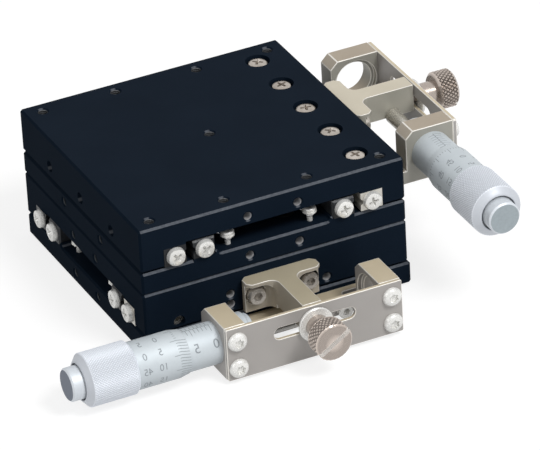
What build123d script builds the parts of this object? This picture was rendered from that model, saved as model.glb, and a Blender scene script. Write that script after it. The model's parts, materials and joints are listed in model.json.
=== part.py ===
from build123d import *
import math
import os

os.makedirs("parts", exist_ok=True)

# A two-axis crossed-roller translation stage: two one-axis stages, the upper one turned a quarter
# turn and bolted on the lower one. One stage is described in its own frame: it travels along X,
# its micrometer bracket is on the -Y side and the micrometer reaches towards -X. Z is up from
# the underside of its base. All sizes are in millimetres.

# Plates
plate = 70.0                # length and width of the square plates
stage_h = 17.5              # height of one stage
stroke = 13.0               # whole travel of a table
base_t = 5.8
base_overhang = 0.7         # the lower base is this much longer at its +X end
plate_chamfer = 0.5
hole_chamfer = 0.35

# Crossed-roller rails
skirt_t = 6.1               # skirt of the table outside an outer rail
rail_w = 5.8
rail_h = 4.8
rail_gap = 1.8              # between the faces of an inner and an outer rail
rail_land_h = 0.35          # land of the base under an inner rail
rail_end_chamfer = 0.45     # round the channel on the ends of an inner rail
cove_r = 1.0                # between the base and the shoulder beside an inner rail
cove_top = 0.5              # width of the shoulder's top
cove_end_chamfer = 0.4
channel_gap = 0.55          # between the top of an inner rail and the table
preload_play = 0.1          # between the adjusted rail and the skirt behind it
roller_d = 2.5
roller_clearance = 0.03     # round a roller in its V groove
roller_end_play = 0.05
roller_pitch = 4.4
cage_t = 0.6
cage_inset = 6.0            # from the end of a rail to the end of its cage
cage_end = 2.6              # least cage beyond the middle of its last roller
cage_edge_gap = 0.05        # cage edge inside the rails' height
cage_window_play = 0.05

# Rail fasteners
rail_screw_edge = 8.0       # from the end of a rail to its first screw
rail_screw_count = 5
end_head_d = 4.8
end_head_h = 1.4
end_shank_d = 2.5
end_shank_len = 5.5
top_head_d = 5.2            # fixed outer rail, from the top of the table
top_head_h = 2.1
top_shank_d = 3.0
top_thread = 2.75           # in the rail
top_bore_play = 1.0
top_bore_depth = 2.4
under_head_d = 4.5          # inner rails, from under the base
under_head_h = 2.5
under_shank_d = 2.5
under_thread = 2.85
tie_head_d = 3.8            # adjusted outer rail, from under the rail
tie_head_h = 2.0
tie_shank_d = 2.0
tie_thread = 3.3
bore_spare = 0.3            # counterbore deeper than the head in it
set_screw_d = 3.0
set_screw_recess = 1.4      # below the side of the table
preload_pitch = 18.0
preload_z = 9.6
side_screw_edge = 9.0
side_screw_z = 7.9
head_clearance = 0.1        # counterbores and clearance holes, on the diameter

# Small tapped holes
plate_hole_d = 2.5          # in the top of a table and the underside of a base
plate_hole_depth = 5.0
hole_row_end = 4.0          # from the end of the plate
hole_row_side = 4.5         # from the side of the plate
hole_row_inner = 11.0
face_hole_d = 2.1
face_hole_depth = 6.0
face_hole_y = 6.6
table_face_hole_z = 13.5
base_face_hole_z = 2.8
side_hole_x = 10.6
side_hole_z = 3.3

# Screws that bolt a base down on what carries it
stack_end = 10.0            # from the end of the plate
stack_y = 7.0
stack_head_d = 5.5
stack_head_h = 3.0
stack_shank_d = 3.0
stack_hole_play = 0.4
stack_bore_spare = 0.2
stack_reach = 4.6           # thread below the underside of the base

# Tension springs and their posts
spring_side = 4.6           # from an inner rail
base_post_end = 3.2         # from the -X end of the base
table_post_end = 13.0       # from the +X end of the table
post_d = 1.4
post_washer_d = 3.6
post_washer_t = 0.35
post_head_d = 3.4
post_head_h = 1.1
post_head_gap = 1.8         # under the table
post_depth = 3.5
spring_drop = 0.6           # middle of the spring under the washer
table_post_drop = 1.3       # end of a table post under the middle of the spring
table_post_tip_d = 2.6
table_post_tip_h = 0.6
spring_d = 2.7
spring_wire = 0.5
spring_eye_r = 1.2
spring_lead = 3.8           # from a post to the end of the coils

# Micrometer holder: a foot on the side of the base and two blocks
lower_holder_z = 0.9        # underside of the holder over the underside of its base
upper_holder_z = 2.5
holder_len = 46.4
holder_h = 14.1
block_t = 5.6
block_back = 6.4            # from the side of the base to the back of a block
block_d = 13.0
block_chamfer = 2.0
foot_h = 3.5
foot_slot_end = 5.2         # middle of the relief slot, from the end of the holder
foot_slot_side = 3.2        # and from the side of the base
foot_slot_len = 4.8
foot_slot_w = 2.4
mic_in_block = 6.8          # micrometer axis from the back of a block
mic_z = 7.3                 # micrometer axis over the underside of the holder
stem_d = 9.5
spot_d = 11.4               # spot face for the nut, in each block
spot_depth = 1.2
foot_screw_in = 3.6         # from a block to the nearer screw of the foot
foot_screw_pitch = 6.0
foot_head_d = 3.8
foot_head_h = 2.0
foot_shank_d = 2.0
foot_thread = 4.5

# Lock plate and knob
lock_t = 1.0
lock_corner = 0.3
lock_slot_z = 9.1           # over the underside of the holder
lock_slot_spare = 2.85      # slot beyond the shank at the end of the travel
lock_slot_play = 0.5        # slot wider than the shank
lock_screw_low = 3.1
lock_screw_high = 10.3
button_d = 5.0
button_h = 1.5
button_shank_d = 2.5
button_thread = 1.3
knob_shank_d = 2.7
knob_hole_play = 0.1
knob_shank_depth = 6.5      # shank inside the drive arm
knob_gap = 0.2              # from the lock plate to the knob's washer
washer_d = 9.0
washer_t = 0.8
washer_play = 0.05          # radial, round the shank
knob_neck_d = 5.8
knob_neck_len = 4.4
knob_head_d = 9.7
knob_head_len = 5.2
knob_chamfer = 0.5
knob_slot_w = 1.2
knob_slot_depth = 1.1
knob_slot_turn = 33.0

# Drive arm on the side of the table
arm_half = 9.8
arm_plate_t = 4.6
arm_bottom = 5.7            # over the underside of the holder
arm_web_bottom = 6.8
arm_web_t = 5.0
arm_end_gap = 0.2           # from the web to the lock plate
arm_corner = 1.2
arm_fillet = 2.2            # between the web and the plate
arm_screw_x = 7.0
arm_screw_z = 10.1
arm_pocket_r = 3.35         # pockets round the screws, from the web to the sides
arm_pocket_root = 1.8       # round corner between a pocket's floor and the web
arm_pocket_depth = 2.0
arm_rim = 1.0               # over the pockets
arm_head_d = 4.5
arm_head_h = 2.5
arm_shank_d = 2.5
arm_bore_play = 0.7
arm_bore_depth = 1.0
arm_thread = 5.0

# Micrometer head
sleeve_d = 10.5
sleeve_len = 19.8
stem_out = 3.6              # stem beyond the inner face of its block
nut_d = 10.9
nut_out = 2.4               # nut beyond the inner face of its block
spindle_d = 4.0
spindle_fit = 0.05          # radial, spindle in its sleeve
spindle_gap = 0.02          # from the spindle's tip to the drive arm
spindle_tail = 1.02         # spindle beyond the sleeve's end
journal_d = 3.0
journal_fit = 0.04
journal_gap = 0.6           # from the journal to the cap
thimble_gap = 1.8           # from the thimble to the holder at the end of the travel
thimble_d = 11.8
thimble_edge_d = 10.9
thimble_bevel = 2.4
thimble_fit = 0.05          # radial, thimble on its sleeve
cavity_play = 2.1           # from the sleeve to the thimble's hub at the end of the travel
hub_len = 4.2
grip_d = 13.3
grip_len = 11.9
grip_chamfer = 0.6
grip_over = 1.2             # grip beyond the end of the thimble
grip_end_d = 9.0            # the cone that closes the grip
grip_end_len = 1.4
cap_d = 8.3
cap_len = 5.7
cap_chamfer = 0.4

# Places that follow from the sizes above
half = plate / 2
outer_rail_out = half - skirt_t
outer_rail_y = outer_rail_out - rail_w / 2
gap_y = outer_rail_y - rail_w / 2 - rail_gap / 2
inner_rail_y = gap_y - rail_gap / 2 - rail_w / 2
spring_y = inner_rail_y - rail_w / 2 - spring_side
rail_z0 = base_t + rail_land_h
rail_z1 = rail_z0 + rail_h
rail_mid_z = (rail_z0 + rail_z1) / 2
channel_top = rail_z1 + channel_gap
groove_side = roller_d + 2 * roller_clearance
cage_len = plate - 2 * cage_inset
roller_count = int((cage_len - 2 * cage_end) / roller_pitch + 0.001) + 1
top_seat_z = stage_h - top_bore_depth
top_shank_len = top_seat_z - rail_z1 + top_thread
under_bore_depth = under_head_h + bore_spare
under_shank_len = rail_z0 - under_bore_depth + under_thread
tie_bore_depth = tie_head_h + bore_spare
tie_shank_len = rail_h - tie_bore_depth + tie_thread
set_screw_len = skirt_t - preload_play - set_screw_recess
stack_bore_depth = stack_head_h + stack_bore_spare
stack_x = half - stack_end
post_washer_z = channel_top - post_head_gap - post_head_h - post_washer_t
spring_z = post_washer_z - spring_drop
base_post_x = -half + base_post_end
table_post_x = half - table_post_end
block_y = -half - block_back
plate_y = block_y - block_d
mic_y = block_y - mic_in_block
block_x = holder_len / 2 - block_t / 2
web_end_y = plate_y + arm_end_gap
knob_y = plate_y - lock_t - knob_gap - washer_t
arm_face_y = -half - arm_plate_t
arm_seat_y = arm_face_y + arm_pocket_depth + arm_bore_depth
lock_slot_half = stroke / 2 + knob_shank_d / 2 + lock_slot_spare
thimble_start = holder_len / 2 + stroke / 2 + thimble_gap
thimble_cavity = holder_len / 2 + sleeve_len - thimble_start + stroke / 2 + cavity_play
thimble_end = thimble_start + thimble_cavity + hub_len
grip_start = thimble_end + grip_over - grip_len
spindle_tip = arm_web_t / 2 + spindle_gap
spindle_end = holder_len / 2 + sleeve_len + spindle_tail


def rail_screw_places():
    pitch = (plate - 2 * rail_screw_edge) / (rail_screw_count - 1)
    return [-half + rail_screw_edge + i * pitch for i in range(rail_screw_count)]


def foot_screw_places():
    far = holder_len / 2 - block_t - foot_screw_in
    near = far - foot_screw_pitch
    return [-far, -near, near, far]


def hole_grid():
    """Places of the small tapped holes of a plate."""
    x = half - hole_row_end
    y = half - hole_row_side
    return [(sx * x, sy) for sx in (-1, 1) for sy in (-y, -hole_row_inner, hole_row_inner, y)]


def along_x(x, y, z):
    """A frame whose Z axis points along +X."""
    return Location(Plane(origin=(x, y, z), x_dir=(0, 1, 0), z_dir=(1, 0, 0)))


def along_y(x, y, z, sign=-1):
    """A frame whose Z axis points along -Y, or +Y with sign 1."""
    return Location(Plane(origin=(x, y, z), x_dir=(1, 0, 0), z_dir=(0, sign, 0)))


def up(x, y, z):
    return Location((x, y, z))


def down(x, y, z):
    return Location(Plane(origin=(x, y, z), x_dir=(1, 0, 0), z_dir=(0, 0, -1)))


def drill(frame, d, depth, countersink=0.0):
    """A hole from a surface down the frame's -Z, cut from the part being built."""
    with Locations(frame):
        Cylinder(d / 2, depth, align=(Align.CENTER, Align.CENTER, Align.MAX), mode=Mode.SUBTRACT)
        if countersink:
            Cone(d / 2, d / 2 + countersink, countersink,
                 align=(Align.CENTER, Align.CENTER, Align.MAX), mode=Mode.SUBTRACT)


def cross_screw(frame, head_d, head_h, shank_d, length):
    """A pan-head screw: the head stands on the frame's origin, the shank goes down its -Z."""
    with BuildPart() as screw:
        with Locations(up(0, 0, 0)):
            Cylinder(head_d / 2, head_h, align=(Align.CENTER, Align.CENTER, Align.MIN))
        fillet(screw.faces().sort_by(Axis.Z)[-1].edges(), head_h * 0.55)
        with Locations((0, 0, head_h)):
            for turn in (0, 90):
                Box(head_d * 0.52, head_d * 0.12, head_h * 0.9, rotation=(0, 0, turn),
                    mode=Mode.SUBTRACT)
        Cylinder(shank_d / 2, length, align=(Align.CENTER, Align.CENTER, Align.MAX))
    return screw.part.moved(frame)


def socket_screw(frame, head_d, head_h, shank_d, length, key=0.5, crown=0.1):
    """A socket head screw, head on the frame's origin, shank down its -Z."""
    with BuildPart() as screw:
        Cylinder(head_d / 2, head_h, align=(Align.CENTER, Align.CENTER, Align.MIN))
        chamfer(screw.faces().sort_by(Axis.Z)[-1].edges(), head_h * crown)
        with BuildSketch(Plane.XY.offset(head_h)):
            RegularPolygon(head_d * key / 2, 6)
        extrude(amount=-head_h * 0.5, mode=Mode.SUBTRACT)
        Cylinder(shank_d / 2, length, align=(Align.CENTER, Align.CENTER, Align.MAX))
    return screw.part.moved(frame)


def button_screw(frame, head_d, head_h, shank_d, length):
    """A round button head with a hexagon socket."""
    with BuildPart() as screw:
        Cylinder(head_d / 2, head_h, align=(Align.CENTER, Align.CENTER, Align.MIN))
        fillet(screw.faces().sort_by(Axis.Z)[-1].edges(), head_h * 0.7)
        with BuildSketch(Plane.XY.offset(head_h)):
            RegularPolygon(head_d * 0.24, 6)
        extrude(amount=-head_h * 0.55, mode=Mode.SUBTRACT)
        Cylinder(shank_d / 2, length, align=(Align.CENTER, Align.CENTER, Align.MAX))
    return screw.part.moved(frame)


def set_screw(frame):
    """A headless screw whose outer end is at the frame's origin."""
    with BuildPart() as screw:
        Cylinder(set_screw_d / 2, set_screw_len, align=(Align.CENTER, Align.CENTER, Align.MAX))
        with BuildSketch(Plane.XY):
            RegularPolygon(set_screw_d * 0.28, 6)
        extrude(amount=-set_screw_d * 0.6, mode=Mode.SUBTRACT)
    return screw.part.moved(frame)


def make_base(overhang, holder_z):
    with BuildPart() as base:
        with Locations((overhang / 2, 0, base_t / 2)):
            Box(plate + overhang, plate, base_t)
        chamfer(base.edges(), plate_chamfer)
        for y in (-inner_rail_y, inner_rail_y):
            with Locations((0, y, rail_z0)):
                Box(plate, rail_w, rail_land_h + plate_chamfer,
                    align=(Align.CENTER, Align.CENTER, Align.MAX))
            for x in rail_screw_places():
                drill(up(x, y, rail_z0), under_shank_d, rail_z0)
                drill(down(x, y, 0), under_head_d + head_clearance, under_bore_depth)
        for x in (-stack_x, stack_x):
            for y in (-stack_y, stack_y):
                drill(up(x, y, base_t), stack_shank_d + stack_hole_play, base_t)
                drill(up(x, y, base_t), stack_head_d + head_clearance, stack_bore_depth)
        for x, y in hole_grid():
            if abs(y) > hole_row_inner:
                drill(down(x, y, 0), plate_hole_d, base_t)
        for y in (-spring_y, spring_y):
            drill(up(base_post_x, y, base_t), post_d, post_depth)
        for y in (-face_hole_y, face_hole_y):
            drill(along_x(half + overhang, y, base_face_hole_z), face_hole_d, face_hole_depth,
                  hole_chamfer)
            drill(along_x(-half, y, base_face_hole_z) * Location((0, 0, 0), (0, 180, 0)),
                  face_hole_d, face_hole_depth, hole_chamfer)
        for x in (-side_hole_x, side_hole_x):
            drill(along_y(x, half, side_hole_z, 1), face_hole_d, face_hole_depth, hole_chamfer)
        for x in foot_screw_places():
            drill(along_y(x, -half, holder_z + foot_h / 2), foot_shank_d, foot_thread + 0.5)
        for sign in (-1, 1):
            add(rail_shoulder(sign))
    return base.part


def rail_shoulder(sign):
    """The shoulder that an inner rail leans on, with a cove down to the middle of the base."""
    wall = inner_rail_y - rail_w / 2
    lip = wall - cove_top
    with BuildPart() as shoulder:
        with BuildSketch(Plane.YZ.offset(-half)):
            with BuildLine():
                Polyline((sign * (lip - cove_r), base_t), (sign * (lip - cove_r), base_t - plate_chamfer),
                         (sign * wall, base_t - plate_chamfer), (sign * wall, base_t + cove_r),
                         (sign * lip, base_t + cove_r))
                RadiusArc((sign * (lip - cove_r), base_t), (sign * lip, base_t + cove_r),
                          -sign * cove_r)
            make_face()
        extrude(amount=plate)
        ends = shoulder.edges().filter_by(GeomType.CIRCLE)
        tops = shoulder.edges().filter_by(Axis.Y).group_by(Axis.Z)[-1]
        chamfer(ends + tops, cove_end_chamfer)
    return shoulder.part


def make_inner_rail(sign):
    with BuildPart() as rail:
        with Locations((0, sign * inner_rail_y, rail_z0)):
            Box(plate, rail_w, rail_h, align=(Align.CENTER, Align.CENTER, Align.MIN))
        tops = rail.edges().filter_by(Axis.Y).group_by(Axis.Z)[-1]
        sides = rail.edges().filter_by(Axis.Z).filter_by(lambda e: abs(e.center().Y) < inner_rail_y)
        chamfer(tops + sides, rail_end_chamfer)
        with Locations((0, sign * gap_y, rail_mid_z)):
            Box(plate, groove_side, groove_side, rotation=(45, 0, 0), mode=Mode.SUBTRACT)
        for x in rail_screw_places():
            drill(down(x, sign * inner_rail_y, rail_z0), under_shank_d, under_thread)
        for x, turn in ((half, 0), (-half, 180)):
            drill(along_x(x, sign * inner_rail_y, rail_mid_z) * Location((0, 0, 0), (0, turn, 0)),
                  end_shank_d, end_shank_len)
    return rail.part


def make_outer_rail(sign):
    adjusted = sign > 0
    with BuildPart() as rail:
        with Locations((0, sign * outer_rail_y, rail_z0)):
            Box(plate, rail_w, rail_h, align=(Align.CENTER, Align.CENTER, Align.MIN))
        with Locations((0, sign * gap_y, rail_mid_z)):
            Box(plate, groove_side, groove_side, rotation=(45, 0, 0), mode=Mode.SUBTRACT)
        for x in rail_screw_places():
            if adjusted:
                drill(up(x, sign * outer_rail_y, rail_z1), tie_shank_d, rail_h)
                drill(down(x, sign * outer_rail_y, rail_z0), tie_head_d + head_clearance,
                      tie_bore_depth)
            else:
                drill(up(x, sign * outer_rail_y, rail_z1), top_shank_d, top_thread)
        for x, turn in ((half, 0), (-half, 180)):
            drill(along_x(x, sign * outer_rail_y, rail_mid_z) * Location((0, 0, 0), (0, turn, 0)),
                  end_shank_d, end_shank_len)
    return rail.part


def end_screws(rail_y):
    screws = []
    for y in (-rail_y, rail_y):
        for x, turn in ((half, 0), (-half, 180)):
            frame = along_x(x, y, rail_mid_z) * Location((0, 0, 0), (0, turn, 45))
            screws.append(cross_screw(frame, end_head_d, end_head_h, end_shank_d, end_shank_len))
    return screws


def make_cage(sign):
    with BuildPart() as cage:
        with Locations((0, sign * gap_y, rail_mid_z)):
            Box(cage_len, cage_t, rail_h - 2 * cage_edge_gap)
            with GridLocations(roller_pitch, 1, roller_count, 1):
                Box(roller_d + 2 * cage_window_play, cage_t,
                    roller_d * math.sqrt(2) + 2 * cage_window_play, mode=Mode.SUBTRACT)
    return cage.part


def make_rollers(sign):
    rollers = []
    for i in range(roller_count):
        x = (i - (roller_count - 1) / 2) * roller_pitch
        tilt = 45 if i % 2 else -45
        with BuildPart() as roller:
            Cylinder(roller_d / 2, roller_d - 2 * roller_end_play)
            chamfer(roller.edges().filter_by(GeomType.CIRCLE), 0.12)
        rollers.append(roller.part.moved(
            Location((x, sign * gap_y, rail_mid_z), (tilt, 0, 0))))
    return rollers


def make_table(holder_z, carries_stage):
    with BuildPart() as table:
        with Locations((0, 0, rail_z0)):
            Box(plate, plate, stage_h - rail_z0,
                align=(Align.CENTER, Align.CENTER, Align.MIN))
        chamfer(table.edges(), plate_chamfer)
        pocket_w = 2 * outer_rail_out + preload_play
        with Locations((0, preload_play / 2, rail_z1)):
            Box(plate, pocket_w, rail_h, align=(Align.CENTER, Align.CENTER, Align.MAX),
                mode=Mode.SUBTRACT)
        with Locations((0, 0, channel_top)):
            Box(plate, 2 * (outer_rail_y - rail_w / 2), channel_top - rail_z0,
                align=(Align.CENTER, Align.CENTER, Align.MAX), mode=Mode.SUBTRACT)
        for x in rail_screw_places():
            drill(up(x, -outer_rail_y, stage_h), top_shank_d + 2 * head_clearance, stage_h - rail_z1)
            drill(up(x, -outer_rail_y, stage_h), top_head_d + top_bore_play, top_bore_depth)
            drill(down(x, outer_rail_y, rail_z1), tie_shank_d, tie_thread)
        for x, y in hole_grid() + [(0, 0)]:
            drill(up(x, y, stage_h), plate_hole_d, plate_hole_depth, hole_chamfer)
        for y in (-spring_y, spring_y):
            drill(down(table_post_x, y, channel_top), post_d, post_depth)
        for y in (-face_hole_y, face_hole_y):
            for x, turn in ((half, 0), (-half, 180)):
                drill(along_x(x, y, table_face_hole_z) * Location((0, 0, 0), (0, turn, 0)),
                      face_hole_d, face_hole_depth, hole_chamfer)
        for x in (-preload_pitch, 0, preload_pitch):
            drill(along_y(x, half, preload_z, 1), set_screw_d, skirt_t)
        for x in (-arm_screw_x, arm_screw_x):
            drill(along_y(x, -half, holder_z + arm_screw_z), arm_shank_d, arm_thread)
        for x, z in ((-arm_half - 2.5, 11.2), (-arm_half - 2.5, 8.4), (arm_half + 3.4, 8.3)):
            drill(along_y(x, -half, z), face_hole_d, arm_thread, hole_chamfer)
        drill(along_y(side_screw_edge - half, -half, side_screw_z), set_screw_d, skirt_t)
        if carries_stage:
            for x in (-stack_y, stack_y):
                for y in (-stack_x, stack_x):
                    drill(up(x, y, stage_h), stack_shank_d, stack_reach)
    return table.part


def base_post(y):
    """A pan-head screw with its washer, standing on the base."""
    top = post_washer_z + post_washer_t
    with BuildPart() as post:
        with Locations((base_post_x, y, base_t - post_depth)):
            Cylinder(post_d / 2, post_washer_z - base_t + post_depth,
                     align=(Align.CENTER, Align.CENTER, Align.MIN))
        with Locations((base_post_x, y, post_washer_z)):
            Cylinder(post_washer_d / 2, post_washer_t,
                     align=(Align.CENTER, Align.CENTER, Align.MIN))
        with Locations((base_post_x, y, top)):
            Cylinder(post_head_d / 2, post_head_h, align=(Align.CENTER, Align.CENTER, Align.MIN))
        fillet(post.faces().sort_by(Axis.Z)[-1].edges(), post_head_h * 0.5)
        with Locations((base_post_x, y, top + post_head_h)):
            for turn in (0, 90):
                Box(post_head_d * 0.5, post_head_d * 0.12, post_head_h, rotation=(0, 0, turn),
                    mode=Mode.SUBTRACT)
    return post.part


def table_post(y):
    tip_z = spring_z - table_post_drop
    with BuildPart() as post:
        with Locations((table_post_x, y, tip_z)):
            Cylinder(post_d / 2, channel_top + post_depth - tip_z,
                     align=(Align.CENTER, Align.CENTER, Align.MIN))
            Cylinder(table_post_tip_d / 2, table_post_tip_h,
                     align=(Align.CENTER, Align.CENTER, Align.MIN))
    return post.part


def tension_spring(y):
    """The body of the coils and an eye round each post."""
    start = base_post_x + spring_lead
    end = table_post_x - spring_lead
    with BuildPart() as spring:
        with Locations(along_x(start, y, spring_z)):
            Cylinder(spring_d / 2, end - start, align=(Align.CENTER, Align.CENTER, Align.MIN))
        with Locations(along_x(base_post_x + spring_eye_r, y, spring_z)):
            Cylinder(spring_wire / 2, spring_lead,
                     align=(Align.CENTER, Align.CENTER, Align.MIN))
        with Locations(along_x(end - spring_eye_r, y, spring_z)):
            Cylinder(spring_wire / 2, spring_lead,
                     align=(Align.CENTER, Align.CENTER, Align.MIN))
        for x in (base_post_x, table_post_x):
            with Locations((x, y, spring_z)):
                Torus(spring_eye_r, spring_wire / 2)
    return spring.part


def make_arm(z0):
    with BuildPart() as arm:
        with Locations((0, -half, z0 + arm_bottom)):
            Box(2 * arm_half, arm_plate_t, holder_h - arm_bottom,
                align=(Align.CENTER, Align.MAX, Align.MIN))
        chamfer(arm.edges().filter_by(Axis.Z), arm_corner)
        with Locations((0, -half, z0 + arm_web_bottom)):
            Box(arm_web_t, -half - web_end_y, holder_h - arm_web_bottom,
                align=(Align.CENTER, Align.MAX, Align.MIN))
        roots = arm.edges().filter_by(Axis.Z).filter_by_position(
            Axis.Y, arm_face_y, arm_face_y).filter_by_position(Axis.X, -arm_web_t, arm_web_t)
        fillet(roots, arm_fillet)
        for sign in (-1, 1):
            add(arm_pocket(sign, z0), mode=Mode.SUBTRACT)
            frame = along_y(sign * arm_screw_x, arm_face_y + arm_pocket_depth, z0 + arm_screw_z)
            drill(frame, arm_head_d + arm_bore_play, arm_bore_depth)
            drill(frame, arm_shank_d, arm_plate_t)
        drill(along_y(0, web_end_y, z0 + lock_slot_z), knob_shank_d + knob_hole_play,
              knob_shank_depth + 0.5)
    return arm.part


def arm_pocket(sign, z0):
    """The room round one screw of the arm, with its top corner and its corner at the web rounded."""
    width = arm_half - arm_web_t / 2 + arm_pocket_r
    middle = sign * (arm_web_t / 2 + width / 2)
    height = holder_h - arm_bottom - arm_rim + 2 * arm_pocket_r
    depth = arm_pocket_depth + arm_fillet
    with BuildPart() as pocket:
        with BuildSketch(Plane.XZ.offset(arm_fillet - arm_face_y)):
            with Locations((middle, z0 + holder_h - arm_rim - height / 2)):
                RectangleRounded(width, height, arm_pocket_r)
        extrude(amount=-depth)
        with BuildSketch(Plane.XY.offset(z0)):
            with Locations((middle, arm_face_y + arm_pocket_depth - depth)):
                RectangleRounded(width, 2 * depth, arm_pocket_root)
        extrude(amount=holder_h, mode=Mode.INTERSECT)
    return pocket.part


def make_holder(z0):
    with BuildPart() as holder:
        for x in (-block_x, block_x):
            with Locations((x, block_y, z0)):
                Box(block_t, block_d, holder_h, align=(Align.CENTER, Align.MAX, Align.MIN))
        back_edges = holder.edges().filter_by(Axis.X).group_by(Axis.Z)[-1].group_by(Axis.Y)[-1]
        chamfer(back_edges, block_chamfer)
        with Locations((0, -half, z0)):
            Box(holder_len, block_back, foot_h, align=(Align.CENTER, Align.MAX, Align.MIN))
        with Locations((0, mic_y, z0 + mic_z)):
            Cylinder(stem_d / 2, holder_len, rotation=(0, 90, 0), mode=Mode.SUBTRACT)
            Cylinder(spot_d / 2, holder_len - 2 * (block_t - spot_depth), rotation=(0, 90, 0),
                     mode=Mode.SUBTRACT)
        for sign in (-1, 1):
            with BuildSketch(Plane.XY.offset(z0 + foot_h)):
                with Locations((sign * (holder_len / 2 - foot_slot_end), -half - foot_slot_side)):
                    RectangleRounded(foot_slot_len, foot_slot_w, foot_slot_w * 0.45)
            extrude(amount=-foot_h, mode=Mode.SUBTRACT)
        for x in foot_screw_places():
            drill(along_y(x, block_y, z0 + foot_h / 2), foot_shank_d, block_back)
        for x in (-block_x, block_x):
            for z in (lock_screw_low, lock_screw_high):
                drill(along_y(x, plate_y, z0 + z), button_shank_d, button_thread)
    return holder.part


def make_lock_plate(z0):
    with BuildPart() as lock:
        with Locations((0, plate_y, z0)):
            Box(holder_len, lock_t, holder_h, align=(Align.CENTER, Align.MAX, Align.MIN))
        chamfer(lock.edges().filter_by(Axis.Y), lock_corner)
        with BuildSketch(Plane.XZ.offset(-plate_y + lock_t)):
            with Locations((0, z0 + lock_slot_z)):
                SlotOverall(2 * lock_slot_half, knob_shank_d + lock_slot_play)
        extrude(amount=-lock_t, mode=Mode.SUBTRACT)
        for x in (-block_x, block_x):
            for z in (lock_screw_low, lock_screw_high):
                drill(along_y(x, plate_y - lock_t, z0 + z), button_shank_d, lock_t)
    return lock.part


def make_knob(z0):
    shank = web_end_y - knob_y + knob_shank_depth
    with BuildPart() as knob:
        Cylinder(knob_neck_d / 2, knob_neck_len, align=(Align.CENTER, Align.CENTER, Align.MIN))
        with Locations((0, 0, knob_neck_len)):
            Cylinder(knob_head_d / 2, knob_head_len, align=(Align.CENTER, Align.CENTER, Align.MIN))
        rims = knob.edges().filter_by(GeomType.CIRCLE)
        chamfer([e for e in rims if e.radius > knob_neck_d / 2 + 0.1], knob_chamfer)
        with Locations((0, 0, knob_neck_len + knob_head_len)):
            Box(knob_head_d, knob_slot_w, 2 * knob_slot_depth, rotation=(0, 0, knob_slot_turn),
                mode=Mode.SUBTRACT)
        Cylinder(knob_shank_d / 2, shank, align=(Align.CENTER, Align.CENTER, Align.MAX))
    return knob.part.moved(along_y(0, knob_y, z0 + lock_slot_z))


def make_washer(z0):
    with BuildPart() as washer:
        Cylinder(washer_d / 2, washer_t, align=(Align.CENTER, Align.CENTER, Align.MAX))
        chamfer(washer.edges(), washer_t * 0.2)
        Cylinder(knob_shank_d / 2 + washer_play, washer_t,
                 align=(Align.CENTER, Align.CENTER, Align.MAX), mode=Mode.SUBTRACT)
    return washer.part.moved(along_y(0, knob_y, z0 + lock_slot_z))


def axis_x(x, z0):
    return along_x(x, mic_y, z0 + mic_z)


def make_sleeve(z0):
    face = -holder_len / 2
    inner = face + block_t + stem_out
    with BuildPart() as sleeve:
        with Locations(axis_x(face, z0)):
            Cylinder(sleeve_d / 2, sleeve_len, align=(Align.CENTER, Align.CENTER, Align.MAX))
        with Locations(axis_x(face, z0)):
            Cylinder(stem_d / 2, inner - face, align=(Align.CENTER, Align.CENTER, Align.MIN))
        with Locations(axis_x(inner, z0)):
            Cylinder(spindle_d / 2 + spindle_fit, inner - face + sleeve_len,
                     align=(Align.CENTER, Align.CENTER, Align.MAX), mode=Mode.SUBTRACT)
        chamfer(sleeve.edges().filter_by(GeomType.CIRCLE).group_by(Axis.X)[-1], 0.2)
    return sleeve.part


def make_nut(z0):
    with BuildPart() as nut:
        with Locations(axis_x(-holder_len / 2 + block_t - spot_depth, z0)):
            Cylinder(nut_d / 2, spot_depth + nut_out, align=(Align.CENTER, Align.CENTER, Align.MIN))
            chamfer(nut.edges().filter_by(GeomType.CIRCLE), 0.3)
            Cylinder(stem_d / 2, spot_depth + nut_out, align=(Align.CENTER, Align.CENTER, Align.MIN),
                     mode=Mode.SUBTRACT)
    return nut.part


def make_spindle(z0):
    with BuildPart() as spindle:
        with Locations(axis_x(-spindle_tip, z0)):
            Cylinder(spindle_d / 2, spindle_end - spindle_tip,
                     align=(Align.CENTER, Align.CENTER, Align.MAX))
        chamfer(spindle.edges().group_by(Axis.X)[-1], 0.3)
        with Locations(axis_x(-spindle_end, z0)):
            Cylinder(journal_d / 2, thimble_end - journal_gap - spindle_end,
                     align=(Align.CENTER, Align.CENTER, Align.MAX))
    return spindle.part


def make_thimble(z0):
    start = -thimble_start
    bore = sleeve_d / 2 + thimble_fit
    with BuildPart() as thimble:
        with Locations(axis_x(start - thimble_bevel, z0)):
            Cylinder(thimble_d / 2, thimble_end - thimble_start - thimble_bevel,
                     align=(Align.CENTER, Align.CENTER, Align.MAX))
            Cone(thimble_d / 2, thimble_edge_d / 2, thimble_bevel,
                 align=(Align.CENTER, Align.CENTER, Align.MIN))
        with Locations(axis_x(start, z0)):
            Cylinder(bore, thimble_cavity, align=(Align.CENTER, Align.CENTER, Align.MAX),
                     mode=Mode.SUBTRACT)
            Cylinder(journal_d / 2 + journal_fit, thimble_end - thimble_start,
                     align=(Align.CENTER, Align.CENTER, Align.MAX), mode=Mode.SUBTRACT)
    return thimble.part


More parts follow.
